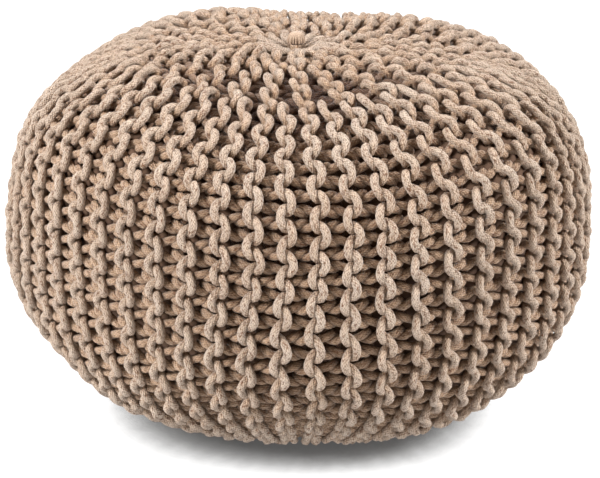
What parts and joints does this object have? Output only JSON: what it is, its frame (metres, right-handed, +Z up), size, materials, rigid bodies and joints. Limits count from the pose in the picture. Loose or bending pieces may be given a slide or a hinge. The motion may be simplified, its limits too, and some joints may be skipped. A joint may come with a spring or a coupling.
{
  "type": "knitted pouf",
  "caption": "Round filled floor cushion in a thick knitted cotton cord cover, ribbed from a gathered crown to a flat underside.",
  "frame": {"origin": "centre of the plan, on the floor under the pouf", "axes": "+Z up through the gathered crown, -Y towards the side that the picture shows, +X to its right"},
  "size_m": [0.512, 0.5118, 0.3268],
  "materials": {
    "cotton_cord": "matt sand-coloured braided cotton cord",
    "knotted_cotton": "matt sand-coloured cotton, pleated and bound"
  },
  "bodies": {
    "root": {"pouf_cover": "cotton_cord", "crown_knot": "knotted_cotton"}
  },
  "joints": []
}
